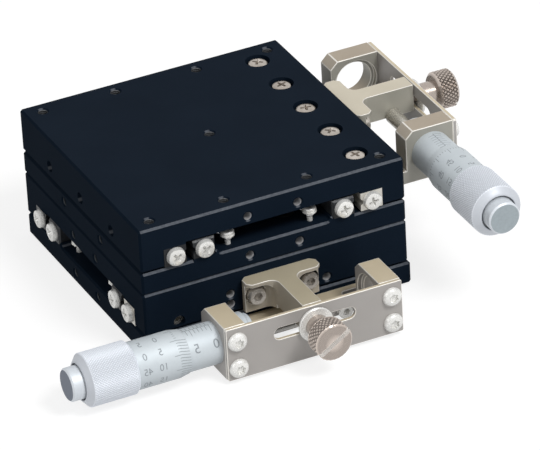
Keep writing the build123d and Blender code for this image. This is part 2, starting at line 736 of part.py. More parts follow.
def make_grip(z0):
    """The knurled sleeve on the thimble; a cone closes its end round the cap."""
    with BuildPart() as grip:
        with Locations(axis_x(-grip_start, z0)):
            Cylinder(grip_d / 2, grip_len, align=(Align.CENTER, Align.CENTER, Align.MAX))
            chamfer(grip.edges().group_by(Axis.X)[-1], grip_chamfer)
        with Locations(axis_x(-grip_start - grip_len, z0)):
            Cone(grip_end_d / 2, grip_d / 2, grip_end_len,
                 align=(Align.CENTER, Align.CENTER, Align.MAX))
        with Locations(axis_x(-grip_start, z0)):
            Cylinder(thimble_d / 2, thimble_end - grip_start,
                     align=(Align.CENTER, Align.CENTER, Align.MAX), mode=Mode.SUBTRACT)
            Cylinder(cap_d / 2, grip_len + grip_end_len,
                     align=(Align.CENTER, Align.CENTER, Align.MAX), mode=Mode.SUBTRACT)
    return grip.part


def make_cap(z0):
    with BuildPart() as cap:
        with Locations(axis_x(-thimble_end, z0)):
            Cylinder(cap_d / 2, cap_len, align=(Align.CENTER, Align.CENTER, Align.MAX))
        chamfer(cap.edges().group_by(Axis.X)[0], cap_chamfer)
    return cap.part


def stage_pieces(z0, overhang, carries_stage):
    """Every piece of one stage in the stage's own frame, by name."""
    screws = rail_screw_places()
    foot_z = z0 + foot_h / 2
    return {
        "base": [make_base(overhang, z0)],
        "inner_rails": [make_inner_rail(s) for s in (-1, 1)],
        "inner_rail_screws": [
            socket_screw(down(x, y, under_bore_depth), under_head_d, under_head_h, under_shank_d,
                         under_shank_len)
            for x in screws for y in (-inner_rail_y, inner_rail_y)],
        "inner_rail_end_screws": end_screws(inner_rail_y),
        "base_spring_posts": [base_post(y) for y in (-spring_y, spring_y)],
        "roller_cages": [make_cage(s) for s in (-1, 1)],
        "rollers": [r for s in (-1, 1) for r in make_rollers(s)],
        "table": [make_table(z0, carries_stage)],
        "outer_rails": [make_outer_rail(s) for s in (-1, 1)],
        "outer_rail_top_screws": [
            cross_screw(up(x, -outer_rail_y, top_seat_z) * Location((0, 0, 0), (0, 0, 20)),
                        top_head_d, top_head_h, top_shank_d, top_shank_len) for x in screws],
        "outer_rail_tie_screws": [
            socket_screw(down(x, outer_rail_y, rail_z0 + tie_bore_depth), tie_head_d, tie_head_h,
                         tie_shank_d, tie_shank_len) for x in screws],
        "outer_rail_end_screws": end_screws(outer_rail_y),
        "set_screws": [
            set_screw(along_y(x, half - set_screw_recess, preload_z, 1))
            for x in (-preload_pitch, 0, preload_pitch)] + [
            set_screw(along_y(side_screw_edge - half, -outer_rail_out - set_screw_len,
                              side_screw_z))],
        "table_spring_posts": [table_post(y) for y in (-spring_y, spring_y)],
        "tension_springs": [tension_spring(y) for y in (-spring_y, spring_y)],
        "drive_arm": [make_arm(z0)],
        "drive_arm_screws": [
            socket_screw(along_y(x, arm_seat_y, z0 + arm_screw_z), arm_head_d, arm_head_h,
                         arm_shank_d, arm_thread - 0.3 - half - arm_seat_y)
            for x in (-arm_screw_x, arm_screw_x)],
        "micrometer_holder": [make_holder(z0)],
        "holder_screws": [
            socket_screw(along_y(x, block_y, foot_z), foot_head_d, foot_head_h, foot_shank_d,
                         block_back + foot_thread) for x in foot_screw_places()],
        "lock_plate": [make_lock_plate(z0)],
        "lock_plate_screws": [
            button_screw(along_y(x, plate_y - lock_t, z0 + z), button_d, button_h, button_shank_d,
                         lock_t + button_thread)
            for x in (-block_x, block_x) for z in (lock_screw_low, lock_screw_high)],
        "lock_knob": [make_knob(z0)],
        "knob_washer": [make_washer(z0)],
        "micrometer_sleeve": [make_sleeve(z0)],
        "stem_nut": [make_nut(z0)],
        "spindle": [make_spindle(z0)],
        "thimble": [make_thimble(z0)],
        "thimble_grip": [make_grip(z0)],
        "thimble_cap": [make_cap(z0)],
    }


def save(name, solids, place):
    placed = [s.moved(place) for s in solids]
    shape = placed[0] if len(placed) == 1 else Compound(children=placed)
    shape.label = name
    export_step(shape, "parts/" + name + ".step")


lower_place = Location((0, 0, 0))
upper_place = Location((0, 0, stage_h), (0, 0, 90))

for name, solids in stage_pieces(lower_holder_z, base_overhang, True).items():
    save("lower_" + name, solids, lower_place)
for name, solids in stage_pieces(upper_holder_z, 0.0, False).items():
    save("upper_" + name, solids, upper_place)

save("stack_screws", [
    socket_screw(up(x, y, base_t - stack_bore_depth), stack_head_d, stack_head_h, stack_shank_d,
                 base_t - stack_bore_depth + stack_reach)
    for x in (-stack_x, stack_x) for y in (-stack_y, stack_y)], upper_place)
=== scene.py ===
import json
import math
from collections import namedtuple

import bmesh
import bpy
from mathutils import Matrix, Vector


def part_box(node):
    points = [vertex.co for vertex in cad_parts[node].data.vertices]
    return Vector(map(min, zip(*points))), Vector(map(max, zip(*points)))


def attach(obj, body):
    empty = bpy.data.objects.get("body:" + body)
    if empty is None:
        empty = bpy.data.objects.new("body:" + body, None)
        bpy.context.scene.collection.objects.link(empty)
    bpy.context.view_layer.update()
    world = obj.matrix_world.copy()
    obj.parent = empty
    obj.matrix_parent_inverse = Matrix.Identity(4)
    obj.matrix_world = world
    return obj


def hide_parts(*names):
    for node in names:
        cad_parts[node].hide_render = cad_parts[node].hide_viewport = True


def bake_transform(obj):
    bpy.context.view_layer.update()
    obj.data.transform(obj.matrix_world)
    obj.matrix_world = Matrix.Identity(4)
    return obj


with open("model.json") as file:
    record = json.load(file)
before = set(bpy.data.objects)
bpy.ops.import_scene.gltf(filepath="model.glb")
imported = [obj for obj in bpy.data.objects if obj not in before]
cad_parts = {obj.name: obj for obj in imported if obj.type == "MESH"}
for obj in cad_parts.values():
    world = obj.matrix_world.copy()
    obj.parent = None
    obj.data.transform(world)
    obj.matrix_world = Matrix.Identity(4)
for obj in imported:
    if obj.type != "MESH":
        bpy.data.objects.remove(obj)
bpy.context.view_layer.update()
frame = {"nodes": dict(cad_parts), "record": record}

# One stage is described in its own frame, as the solids are: it travels along X, its bracket is on
# the -Y side and its micrometer reaches towards -X. The upper stage is turned a quarter turn and
# stands on the lower one. Lengths are in millimetres, and place() turns them into metres.

MM = 0.001
STAGE_H = 17.5
PLATE = 70.0
STAGES = {
    "lower": {"turn": 0.0, "lift": 0.0, "fixed": "lower_fixed", "moving": "lower_carriage"},
    "upper": {"turn": math.pi / 2, "lift": STAGE_H, "fixed": "lower_carriage",
              "moving": "upper_carriage"},
}


def place(stage):
    """The matrix from a stage's own frame in millimetres to the row frame in metres."""
    facts = STAGES[stage]
    lift = Matrix.Translation((0, 0, facts["lift"] * MM))
    return lift @ Matrix.Rotation(facts["turn"], 4, "Z") @ Matrix.Scale(MM, 4)


def axis_place(stage, x, y, z, towards):
    """The matrix of a frame at a local point whose Z axis points along a local direction."""
    turn = Vector(towards).to_track_quat("Z", "Y").to_matrix().to_4x4()
    return place(stage) @ Matrix.Translation((x, y, z)) @ turn


def spin(degrees):
    """A turn about a frame's own Z axis."""
    return Matrix.Rotation(math.radians(degrees), 4, "Z")


Box = namedtuple("Box", "low high middle")


def local_box(stage, node):
    """The box round a stage's CAD node, as three points in the stage's own frame."""
    back = place(stage).inverted()
    corners = [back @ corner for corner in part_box(stage + "_" + node)]
    low = Vector([min(c[i] for c in corners) for i in range(3)])
    high = Vector([max(c[i] for c in corners) for i in range(3)])
    return Box(low, high, (low + high) / 2)


# Node helpers. An input of a node is a value or another node's output, and a colour is three
# numbers or an output.

def set_inputs(tree, node, inputs):
    """Sets a node's sockets by name or number: an output is linked, and a value is set."""
    for key, value in inputs.items():
        if isinstance(value, bpy.types.NodeSocket):
            tree.links.new(value, node.inputs[key])
        else:
            node.inputs[key].default_value = value


def add(tree, kind, inputs=None, **settings):
    node = tree.nodes.new(kind)
    for name, value in settings.items():
        setattr(node, name, value)
    set_inputs(tree, node, inputs or {})
    return node


def new_material(name):
    material = bpy.data.materials.new(name)
    material.use_nodes = True
    return material, material.node_tree


def set_surface(tree, inputs):
    set_inputs(tree, tree.nodes["Principled BSDF"], inputs)


def object_point(tree, stretch=(1, 1, 1)):
    """Object coordinates in metres, which are the row frame's, stretched for brushed grain."""
    coords = add(tree, "ShaderNodeTexCoord")
    return add(tree, "ShaderNodeMapping", {"Vector": coords.outputs["Object"],
                                           "Scale": stretch}).outputs[0]


def noise(tree, point, scale, detail=2.0, roughness=0.5):
    return add(tree, "ShaderNodeTexNoise", {"Vector": point, "Scale": scale, "Detail": detail,
                                            "Roughness": roughness}).outputs["Fac"]


def with_alpha(colour):
    return (*colour, 1.0) if isinstance(colour, tuple) else colour


def darker(colour, share):
    return tuple(share * part for part in colour)


def blend_colours(tree, factor, low, high):
    return add(tree, "ShaderNodeMix", {0: factor, 6: with_alpha(low), 7: with_alpha(high)},
               data_type="RGBA").outputs[2]


def map_range(tree, value, from_low, from_high, to_low, to_high):
    return add(tree, "ShaderNodeMapRange", {0: value, 1: from_low, 2: from_high, 3: to_low,
                                            4: to_high}).outputs[0]


def by_grain(tree, grain, low, high):
    """A value that follows a noise from low to high."""
    return map_range(tree, grain, 0.3, 0.7, low, high)


def by_mask(tree, mask, low, high):
    """low where the mask is 0 and high where it is 1."""
    return map_range(tree, mask, 0.0, 1.0, low, high)


def larger(tree, one, other):
    return add(tree, "ShaderNodeMath", {0: one, 1: other}, operation="MAXIMUM").outputs[0]


def bump(tree, height, distance, strength=1.0):
    return add(tree, "ShaderNodeBump", {"Height": height, "Distance": distance,
                                        "Strength": strength}).outputs[0]


def parts_of(tree, vector):
    return add(tree, "ShaderNodeSeparateXYZ", {0: vector}).outputs


def surface_normal(tree):
    """The surface's own direction."""
    return add(tree, "ShaderNodeTexCoord").outputs["Normal"]


def front_top_edges(tree):
    """1 on chamfers between a front face and a top face, which catch the light most; a painted
    highlight goes there.
    """
    along = add(tree, "ShaderNodeVectorMath", {0: surface_normal(tree), 1: (0.0, -0.707, 0.707)},
                operation="DOT_PRODUCT").outputs["Value"]
    return map_range(tree, along, 0.93, 0.985, 0.0, 1.0)


def seen_by(tree, kinds):
    """1 for rays of these kinds, such as the camera's own."""
    path = add(tree, "ShaderNodeLightPath").outputs
    seen = path[kinds[0]]
    for kind in kinds[1:]:
        seen = larger(tree, seen, path[kind])
    return seen


# Materials. Colours are linear, and low and high are the two that a noise runs between.

BLACK_STEEL = ((0.008, 0.010, 0.013), (0.030, 0.032, 0.036))
GROUND_STEEL = ((0.50, 0.48, 0.44), (0.66, 0.64, 0.59))


def black_anodised():
    """Bead-blasted black anodised aluminium, bluish, with a painted highlight on the front edges and
    painted shade on the left faces.
    """
    material, tree = new_material("black_anodised")
    point = object_point(tree)
    grain = noise(tree, point, 3200.0, 2.0, 0.6)
    cloud = noise(tree, point, 55.0, 3.0)
    edge_light_grain = noise(tree, point, 1400.0)
    # Painted shade: the faces that look left are painted darker and get less specular.
    left = map_range(tree, parts_of(tree, surface_normal(tree))[0], -0.75, -0.6, 1.0, 0.0)
    face = blend_colours(tree, grain, (0.0040, 0.0085, 0.0160), (0.0100, 0.0170, 0.0290))
    face = blend_colours(tree, by_grain(tree, cloud, 0.0, 0.35), face, (0.0030, 0.0065, 0.0125))
    face = blend_colours(tree, by_mask(tree, left, 0.0, 0.35), face, (0.0005, 0.0040, 0.0090))
    # Painted highlight: the pale colour that the front top edges get.
    painted_edge_light = blend_colours(tree, edge_light_grain, (0.050, 0.058, 0.072), (0.135, 0.148, 0.170))
    set_surface(tree, {
        "Base Color": blend_colours(tree, front_top_edges(tree), face, painted_edge_light),
        "Roughness": by_grain(tree, grain, 0.42, 0.58),
        "Normal": bump(tree, grain, 0.00002, 0.5),
        "Specular IOR Level": by_mask(tree, left, 0.012, 0.003),
    })
    return material


def black_steel():
    """Black oxide on ground steel."""
    material, tree = new_material("black_steel")
    fine = noise(tree, object_point(tree), 1800.0)
    set_surface(tree, {
        "Base Color": blend_colours(tree, fine, *BLACK_STEEL),
        "Roughness": by_grain(tree, fine, 0.32, 0.5),
        "Normal": bump(tree, fine, 0.00001, 0.4),
        "Specular IOR Level": 0.3,
    })
    return material


def metal(name, low, high, roughness, scale=900.0, shine=1.0, underside_shade=0.55):
    """A metal whose colour, roughness and bump follow one grain. shine is its metallic share: a
    satin plating scatters the rest. The last argument is how much painted shade darkens faces that
    look down."""
    material, tree = new_material(name)
    point = object_point(tree)
    grain = noise(tree, point, scale, 3.0, 0.6)
    cloud = noise(tree, point, 120.0)
    tone = add(tree, "ShaderNodeMath", {0: grain, 1: 0.6, 2: cloud}, operation="MULTIPLY_ADD")
    ground = blend_colours(tree, map_range(tree, tone.outputs[0], 0.55, 1.05, 0.0, 1.0), low, high)
    height = parts_of(tree, surface_normal(tree))[2]
    # Painted shade: the faces that look down turn towards a darker copy of the low colour.
    down_shade_mask = map_range(tree, height, -0.9, 0.1, underside_shade, 0.0)
    set_surface(tree, {
        "Base Color": blend_colours(tree, down_shade_mask, ground, darker(low, 0.45)),
        "Roughness": by_grain(tree, grain, *roughness),
        "Normal": bump(tree, grain, 0.000008, 0.6),
        "Metallic": shine,
    })
    return material


def nickel_plate(name, side, top):
    """Satin nickel on bead-blasted aluminium. The faces that look up are painted lighter and
    warmer, as painted light.
    """
    material, tree = new_material(name)
    grain = noise(tree, object_point(tree, (1, 1, 6)), 900.0, 3.0, 0.6)
    cloud = noise(tree, object_point(tree), 90.0)
    # Painted light: the faces that look up take the lighter, warmer top colour.
    up = map_range(tree, parts_of(tree, surface_normal(tree))[2], 0.2, 0.9, 0.0, 1.0)
    set_surface(tree, {
        "Base Color": blend_colours(tree, up, blend_colours(tree, cloud, *side),
                                    blend_colours(tree, cloud, *top)),
        "Roughness": by_grain(tree, grain, 0.34, 0.48),
        "Normal": bump(tree, grain, 0.00001, 0.5),
        "Metallic": 0.12,
    })
    return material


def cap_metal(name, axis, end):
    """Satin chrome of a cap whose flat end, which looks along one axis, is turned; its darker colour
    there is painted shade.
    """
    material, tree = new_material(name)
    fine = noise(tree, object_point(tree), 1600.0)
    side = blend_colours(tree, fine, (0.62, 0.66, 0.71), (0.72, 0.76, 0.80))
    # Painted shade: the cap's flat end takes the darker end colour.
    end_shade_mask = map_range(tree, parts_of(tree, surface_normal(tree))[axis], -0.98, -0.90, 1.0, 0.0)
    set_surface(tree, {
        "Base Color": blend_colours(tree, end_shade_mask, side, blend_colours(tree, fine, *end)),
        "Roughness": by_grain(tree, fine, 0.45, 0.56),
        "Metallic": 0.3,
    })
    return material


def knurled_metal(name, low, high, roughness, deep_share, shine):
    """A metal darkened by painted shade where the mesh's own shade attribute says so, as in the
    grooves of a knurl.
    """
    material, tree = new_material(name)
    shade = add(tree, "ShaderNodeAttribute", attribute_name="shade").outputs["Fac"]
    fine = noise(tree, object_point(tree), 1500.0)
    ground = blend_colours(tree, fine, low, high)
    set_surface(tree, {
        "Base Color": blend_colours(tree, shade, ground, darker(low, deep_share)),
        "Roughness": by_grain(tree, fine, roughness - 0.05, roughness + 0.07),
        "Normal": bump(tree, fine, 0.000006, 0.5),
        "Metallic": shine,
    })
    return material


def rail_pair(name, axis, from_low, from_high):
    """Ground steel on one rail of a pair and the dark colours kept for black steel on the other, by
    the place along an axis.
    """
    material, tree = new_material(name)
    fine = noise(tree, object_point(tree, (1, 1, 14)), 500.0, 3.0, 0.6)
    along = parts_of(tree, object_point(tree))[axis]
    other = map_range(tree, along, from_low, from_high, 0.0, 1.0)
    set_surface(tree, {
        "Base Color": blend_colours(tree, other, blend_colours(tree, fine, *GROUND_STEEL),
                                    blend_colours(tree, fine, *BLACK_STEEL)),
        "Roughness": by_grain(tree, fine, 0.28, 0.42),
        "Normal": bump(tree, fine, 0.000008, 0.6),
        "Metallic": 0.5,
    })
    return material


def bare_thread():
    """Cut aluminium in the small tapped holes; those of the left side and of the top are painted
    dark, as painted shade.
    """
    material, tree = new_material("bare_thread")
    point = object_point(tree)
    fine = noise(tree, point, 1500.0)
    bright = blend_colours(tree, fine, (0.42, 0.42, 0.43), (0.62, 0.62, 0.63))
    x, _, z = parts_of(tree, point)
    # Painted shade: the holes on the left side and on the top are painted dark.
    left = map_range(tree, x, -0.0335, -0.0320, 1.0, 0.0)
    top = map_range(tree, z, 0.0323, 0.0328, 0.0, 0.85)
    set_surface(tree, {
        "Base Color": blend_colours(tree, larger(tree, left, top), bright, (0.03, 0.035, 0.04)),
        "Roughness": 0.35,
        "Metallic": 0.6,
    })
    return material


def engraving():
    """Grey paint in an engraved line."""
    material, tree = new_material("engraving_paint")
    fine = noise(tree, object_point(tree), 2500.0)
    set_surface(tree, {
        "Base Color": blend_colours(tree, fine, (0.22, 0.25, 0.27), (0.33, 0.36, 0.39)),
        "Roughness": 0.7,
    })
    return material


def floor_material():
    """Pale floor that the camera and the reflections see as white, with the shadow kept."""
    material, tree = new_material("pale_floor")
    seen = seen_by(tree, ("Is Camera Ray", "Is Glossy Ray"))
    fine = noise(tree, object_point(tree), 12.0)
    pale = blend_colours(tree, fine, (0.80, 0.80, 0.80), (0.84, 0.84, 0.84))
    set_surface(tree, {
        "Base Color": blend_colours(tree, seen, pale, (0.30, 0.30, 0.30)),
        "Roughness": 1.0,
        "Specular IOR Level": 0.0,
    })
    glow = add(tree, "ShaderNodeEmission", {"Color": with_alpha((1, 1, 1)),
                                            "Strength": by_mask(tree, seen, 0.0, 0.78)})
    both = add(tree, "ShaderNodeAddShader", {0: tree.nodes["Principled BSDF"].outputs[0],
                                             1: glow.outputs[0]})
    set_inputs(tree, tree.nodes["Material Output"], {"Surface": both.outputs[0]})
    return material


METALS = {
    "polished_steel": dict(low=(0.52, 0.50, 0.46), high=(0.60, 0.58, 0.53), roughness=(0.22, 0.30),
                           scale=3200.0, shine=0.75),
    "spring_steel": dict(low=(0.42, 0.42, 0.43), high=(0.58, 0.58, 0.59), roughness=(0.20, 0.32)),
    "bright_nickel": dict(low=(0.74, 0.735, 0.71), high=(0.88, 0.875, 0.85), roughness=(0.22, 0.30),
                          scale=2800.0, shine=0.3),
    # Painted highlight: the pale colour of the rounded edges.
    "painted_bevel_highlight": dict(low=(0.76, 0.73, 0.67), high=(0.88, 0.85, 0.79), roughness=(0.28, 0.4),
                        shine=0.2, underside_shade=0.0),
    # Painted highlight: the paler metal of the knob's slot walls.
    "painted_slot_sheen": dict(low=(0.74, 0.71, 0.68), high=(0.86, 0.83, 0.80), roughness=(0.25, 0.35),
                        shine=0.3),
    "top_screws": dict(low=(0.30, 0.26, 0.22), high=(0.56, 0.51, 0.46), roughness=(0.20, 0.32),
                       scale=700.0, shine=0.6),
    "arm_screws": dict(low=(0.42, 0.39, 0.35), high=(0.56, 0.52, 0.47), roughness=(0.18, 0.3),
                       shine=0.6),
    # Painted shade: a darker copy of the steel, for the near spindle.
    "near_spindle_painted_shade": dict(low=(0.30, 0.29, 0.27), high=(0.38, 0.37, 0.35), roughness=(0.24, 0.34),
                         scale=3200.0, shine=0.8),
    "satin_chrome": dict(low=(0.56, 0.61, 0.645), high=(0.63, 0.68, 0.71), roughness=(0.55, 0.65),
                         scale=1600.0, shine=0.25),
    "brass_sheet": dict(low=(0.42, 0.36, 0.16), high=(0.55, 0.47, 0.22), roughness=(0.25, 0.4)),
}

# Brackets and arms take other tones near and far, in lit and shaded copies: painted light and shade.
PLATINGS = {
    "nickel_plate": dict(side=((0.34, 0.32, 0.305), (0.41, 0.39, 0.37)),
                         top=((0.57, 0.485, 0.345), (0.69, 0.595, 0.43))),
    "far_nickel_painted_shade": dict(side=((0.30, 0.29, 0.25), (0.39, 0.375, 0.33)),
                       top=((0.36, 0.30, 0.23), (0.46, 0.39, 0.30))),
    "near_arm_painted_light": dict(side=((0.40, 0.36, 0.29), (0.50, 0.45, 0.37)),
                     top=((0.44, 0.385, 0.275), (0.56, 0.50, 0.365))),
    "far_arm_painted_light": dict(side=((0.36, 0.35, 0.30), (0.46, 0.44, 0.38)),
                    top=((0.54, 0.49, 0.38), (0.68, 0.62, 0.50))),
}

KNURLS = {
    "grip_knurl": dict(low=(0.80, 0.845, 0.92), high=(0.90, 0.94, 1.0), roughness=0.45,
                       deep_share=0.25, shine=0.15),
    "knob_knurl": dict(low=(0.60, 0.52, 0.46), high=(0.70, 0.61, 0.55), roughness=0.22,
                       deep_share=0.04, shine=0.75),
}

MATERIALS = {
    "black_anodised": black_anodised(),
    "black_steel": black_steel(),
    "bare_thread": bare_thread(),
    "engraving": engraving(),
    # Painted shade: the caps' flat ends are darker, the near cap's most.
    "cap_along_x": cap_metal("cap_along_x", 0, ((0.095, 0.115, 0.155), (0.155, 0.18, 0.23))),
    "cap_along_y": cap_metal("cap_along_y", 1, ((0.29, 0.335, 0.36), (0.40, 0.455, 0.485))),
    "rails_along_x": rail_pair("rails_along_x", 1, -0.001, 0.001),
    "rails_along_y": rail_pair("rails_along_y", 0, 0.001, -0.001),
}
MATERIALS.update({name: metal(name, **look) for name, look in METALS.items()})
MATERIALS.update({name: nickel_plate(name, **look) for name, look in PLATINGS.items()})
MATERIALS.update({name: knurled_metal(name, **look) for name, look in KNURLS.items()})

OWN_MATERIALS = {
    "lower_thimble_cap": "cap_along_x",
    "upper_thimble_cap": "cap_along_y",
    "lower_outer_rails": "rails_along_x",
    "upper_outer_rails": "rails_along_y",
    # Painted light and shade: copies of the plating and the steel for the near and the far side.
    "upper_micrometer_holder": "far_nickel_painted_shade",
    "lower_spindle": "near_spindle_painted_shade",
    "lower_drive_arm": "near_arm_painted_light",
    "upper_drive_arm": "far_arm_painted_light",
}


# The CAD's own pieces. Those with bright edges have a bevel, by its width and by the least angle
# in degrees between the faces that it rounds; the bevel's pale colour is a painted highlight.

SOFT_EDGES = {"micrometer_holder": (0.2, 35), "drive_arm": (0.15, 65), "lock_plate": (0.18, 35)}
WELD_DISTANCE = 1e-6
FLAT_ANGLE = 0.5


def dress_cad():
    """Gives every CAD node the material of its slot, or its own."""
    slots = {part["node"]: part["material_slot"] for part in frame["record"]["subparts"]}
    for name, piece in frame["nodes"].items():
        piece.data.materials.clear()
        piece.data.materials.append(MATERIALS[OWN_MATERIALS.get(name, slots[name])])


def soften_edges(node, width, angle):
    """Rounds the sharp edges of a machined CAD piece by modifiers, and gives the rounds a pale
    colour as a painted highlight.
    """
    piece = frame["nodes"][node]
    piece.data.materials.append(MATERIALS["painted_bevel_highlight"])
    weld = piece.modifiers.new("join_corners", "WELD")
    weld.merge_threshold = WELD_DISTANCE
    flat = piece.modifiers.new("whole_faces", "DECIMATE")
    flat.decimate_type = "DISSOLVE"
    flat.angle_limit = math.radians(FLAT_ANGLE)
    bevel = piece.modifiers.new("soft_edges", "BEVEL")
    bevel.width = width * MM
    bevel.segments = 2
    bevel.limit_method = "ANGLE"
    bevel.angle_limit = math.radians(angle)
    bevel.harden_normals = False
    bevel.use_clamp_overlap = False
    bevel.loop_slide = False
    bevel.material = len(piece.data.materials) - 1
    cut = piece.modifiers.new("even_triangles", "TRIANGULATE")
    cut.ngon_method = "BEAUTY"
    even = piece.modifiers.new("even_shading", "WEIGHTED_NORMAL")
    even.weight = 100
    even.keep_sharp = False


# Mesh helpers. A shape is a list of points and a list of faces.

def new_piece(name, points, faces, matrix, material, smooth_angle=35.0):
    """A mesh object from points in a local frame, which matrix takes to the row frame."""
    mesh = bpy.data.meshes.new(name)
    mesh.from_pydata([matrix @ Vector(p) for p in points], [], faces)
    mesh.validate()
    shape = bmesh.new()
    shape.from_mesh(mesh)
    bmesh.ops.recalc_face_normals(shape, faces=shape.faces)
    shape.to_mesh(mesh)
    shape.free()
    mesh.polygons.foreach_set("use_smooth", [True] * len(mesh.polygons))
    mesh.set_sharp_from_angle(angle=math.radians(smooth_angle))
    mesh.materials.append(MATERIALS[material])
    piece = bpy.data.objects.new(name, mesh)
    bpy.context.scene.collection.objects.link(piece)
    return piece


def final_mesh(piece):
    """The mesh of an object as its modifiers leave it."""
    bpy.context.view_layer.update()
    seen = piece.evaluated_get(bpy.context.evaluated_depsgraph_get())
    return bpy.data.meshes.new_from_object(seen)


def join_shapes(shapes):
    points, faces = [], []
    for more_points, more_faces in shapes:
        start = len(points)
        points += more_points
        faces += [tuple(i + start for i in face) for face in more_faces]
    return points, faces


def moved(shape, matrix):
    points, faces = shape
    return [matrix @ Vector(p) for p in points], faces


def polar(radius, angle, height):
    return radius * math.cos(angle), radius * math.sin(angle), height


def ring_faces(rings, segments, flip=lambda row, column: False):
    """Faces between the rings of a closed band of points; each square is cut in two triangles
    along one diagonal or, where flip says so, along the other."""
    faces = []
    for row in range(rings - 1):
        for column in range(segments):
            a = row * segments + column
            b = row * segments + (column + 1) % segments
            c, d = b + segments, a + segments
            faces += [(a, b, d), (b, c, d)] if flip(row, column) else [(a, b, c), (a, c, d)]
    return faces


def turned(profile, segments):
    """A solid of revolution about Z from a profile of (radius, height) pairs that ends on the axis."""
    points = [polar(radius, math.tau * i / segments, height)
              for radius, height in profile for i in range(segments)]
    return points, ring_faces(len(profile), segments)


# Knurled pieces. The diamonds stand on a lattice: a point whose row and column are both even or
# both odd is a diamond's middle, and the others are where grooves cross. Each square of the lattice
# is cut finer, so that the diamonds have flat tops.

KNURL_CUTS = 3
KNURL_FLAT = 0.25
KNURL_STRETCH = 1.15


def groove_depth(column, row):
    """0 on a diamond's flat top and 1 in a groove, at a point of the finer grid."""
    u, v = column / KNURL_CUTS, row / KNURL_CUTS
    near_u, near_v = math.floor(u), math.floor(v)
    least = min(abs(u - a) + abs(v - b)
                for a in (near_u, near_u + 1) for b in (near_v, near_v + 1) if (a + b) % 2 == 0)
    return min(1.0, max(0.0, (least - KNURL_FLAT) / (1 - KNURL_FLAT)))


def knurled(before, radius, start, length, after, columns, depth, darkest=1.0):
    """A closed surface of revolution about Z with a knurled band between two plain profiles, whose
    points are (radius, height) or (radius, height, painted shade). columns counts the lattice points
    round the band, and darkest is the painted shade in its grooves. The result is (points, faces,
    shades)."""
    segments = columns * KNURL_CUTS
    cell = math.tau * radius / columns * KNURL_STRETCH
    rows = max(2, round(length / cell)) * KNURL_CUTS
    points, shades = [], []

    def plain_ring(ring_radius, height, shade=0.0):
        for column in range(segments):
            points.append(polar(ring_radius, math.tau * column / segments, height))
            shades.append(shade)

    def knurl_ring(row):
        for column in range(segments):
            groove = groove_depth(column, row)
            angle = math.tau * column / segments
            points.append(polar(radius - depth * groove, angle, start + length * row / rows))
            shades.append(darkest * groove)

    def flip(row, column):
        """Diagonals run along the grooves."""
        band = row - len(before)
        in_band = 0 <= band < rows
        return in_band and (band // KNURL_CUTS + column // KNURL_CUTS) % 2 == 1

    for corner in before:
        plain_ring(*corner)
    for row in range(rows + 1):
        knurl_ring(row)
    for corner in after:
        plain_ring(*corner)
    faces = ring_faces(len(points) // segments, segments, flip)
    return points, faces, shades


def keep_shades(piece, shades):
    """Stores the painted shade for each point, which the knurled materials read."""
    attribute = piece.data.attributes.new("shade", "FLOAT", "POINT")
    attribute.data.foreach_set("value", shades)


# Grip of the thimble: heights run from its edge towards the cap. Its end is a cone, a rounded rim,
# whose corners are (radius, distance from the end), and a recess round the cap; the cone and the
# recess are darkened by painted shade.

THIMBLE_R = 5.9
GRIP_CHAMFER = 0.45
GRIP_STEP = 0.1
GRIP_KNURL_START = 0.5
GRIP_COLUMNS = 124
GRIP_GROOVE = 0.16
GRIP_CONE = 1.4
GRIP_RIM = ((5.6, 0.62), (5.1, 0.2), (4.8, 0.0))
GRIP_WALL = 10.6
RECESS_R = 4.5
RECESS_DEPTH = 0.9
CAP_R = 4.15
CONE_SHADE = 0.4


def make_grip(stage):
    """The knurled sleeve on the thimble, with the smooth cone that closes it round the cap."""
    box = local_box(stage, "thimble_grip")
    radius, length = (box.high.y - box.low.y) / 2, box.high.x - box.low.x
    knurl_end = length - GRIP_CONE
    recess = length - RECESS_DEPTH
    before = [(THIMBLE_R, GRIP_WALL), (THIMBLE_R, 0.0),
              (radius - GRIP_STEP - GRIP_CHAMFER, 0.0), (radius - GRIP_STEP, GRIP_CHAMFER)]
    # Painted shade darkens the cone, the rim and most of all the recess.
    after = [(radius - 0.12, knurl_end, 0.1), (radius - 0.3, knurl_end + 0.12, CONE_SHADE)]
    after += [(rim_r, length - back, CONE_SHADE) for rim_r, back in GRIP_RIM]
    after += [(RECESS_R + 0.1, length, 0.6), (RECESS_R + 0.02, length - 0.1, 1.0),
              (RECESS_R, recess, 1.0), (CAP_R, recess, 1.0), (CAP_R, GRIP_WALL),
              (THIMBLE_R, GRIP_WALL)]
    points, faces, shades = knurled(before, radius, GRIP_KNURL_START,
                                    knurl_end - GRIP_KNURL_START - GRIP_STEP, after, GRIP_COLUMNS,
                                    GRIP_GROOVE, darkest=0.5)
    matrix = axis_place(stage, box.high.x, box.middle.y, box.middle.z, (-1, 0, 0))
    piece = new_piece(stage + "_grip_knurl", points, faces, matrix, "grip_knurl", 50.0)
    keep_shades(piece, shades)
    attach(piece, stage + "_thimble_body")
    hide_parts(stage + "_thimble_grip")


# Lock knob: heights run from the washer outwards, and the shank reaches below them.

KNOB_SHANK_R = 1.35
KNOB_NECK_R = 2.9
KNOB_NECK = 4.4
KNOB_HEAD = 5.2
KNOB_CHAMFER = 0.55
KNOB_COLUMNS = 56
KNOB_GROOVE = 0.34
KNOB_SLOT = (14.0, 1.2, 2.2)
KNOB_SLOT_TURN = 33
# Painted shade that darkens the knob's shank, neck and face, and the rings beside them.
SHANK_SHADE, NECK_SHADE, FACE_SHADE = 0.5, 0.35, 0.45


